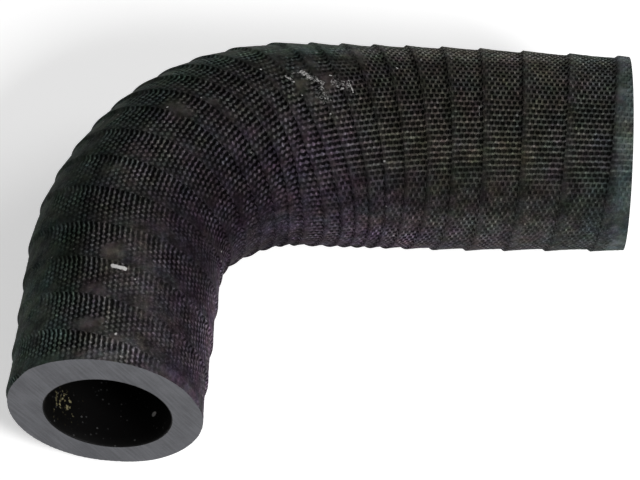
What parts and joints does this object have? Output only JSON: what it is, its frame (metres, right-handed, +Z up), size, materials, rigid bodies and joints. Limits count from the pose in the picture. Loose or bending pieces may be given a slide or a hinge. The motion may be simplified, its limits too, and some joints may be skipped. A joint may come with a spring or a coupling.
{
  "type": "oil return hose",
  "caption": "Short preformed rubber elbow hose with thick walls, straight legs cut square, and the stepped spiral imprint of a woven curing tape.",
  "frame": {"origin": "middle of the hose's box, on the surface that it lies on", "axes": "+X along the long leg, from the bend towards its cut end; the short leg runs from the bend towards -Y, 4.5 degrees off square; +Z up from the surface, square to the plane of the bend"},
  "size_m": [0.1122, 0.0792, 0.0379],
  "materials": {
    "rubber": "matt black, with a cloth imprint"
  },
  "bodies": {
    "root": {"hose": "rubber"}
  },
  "joints": []
}
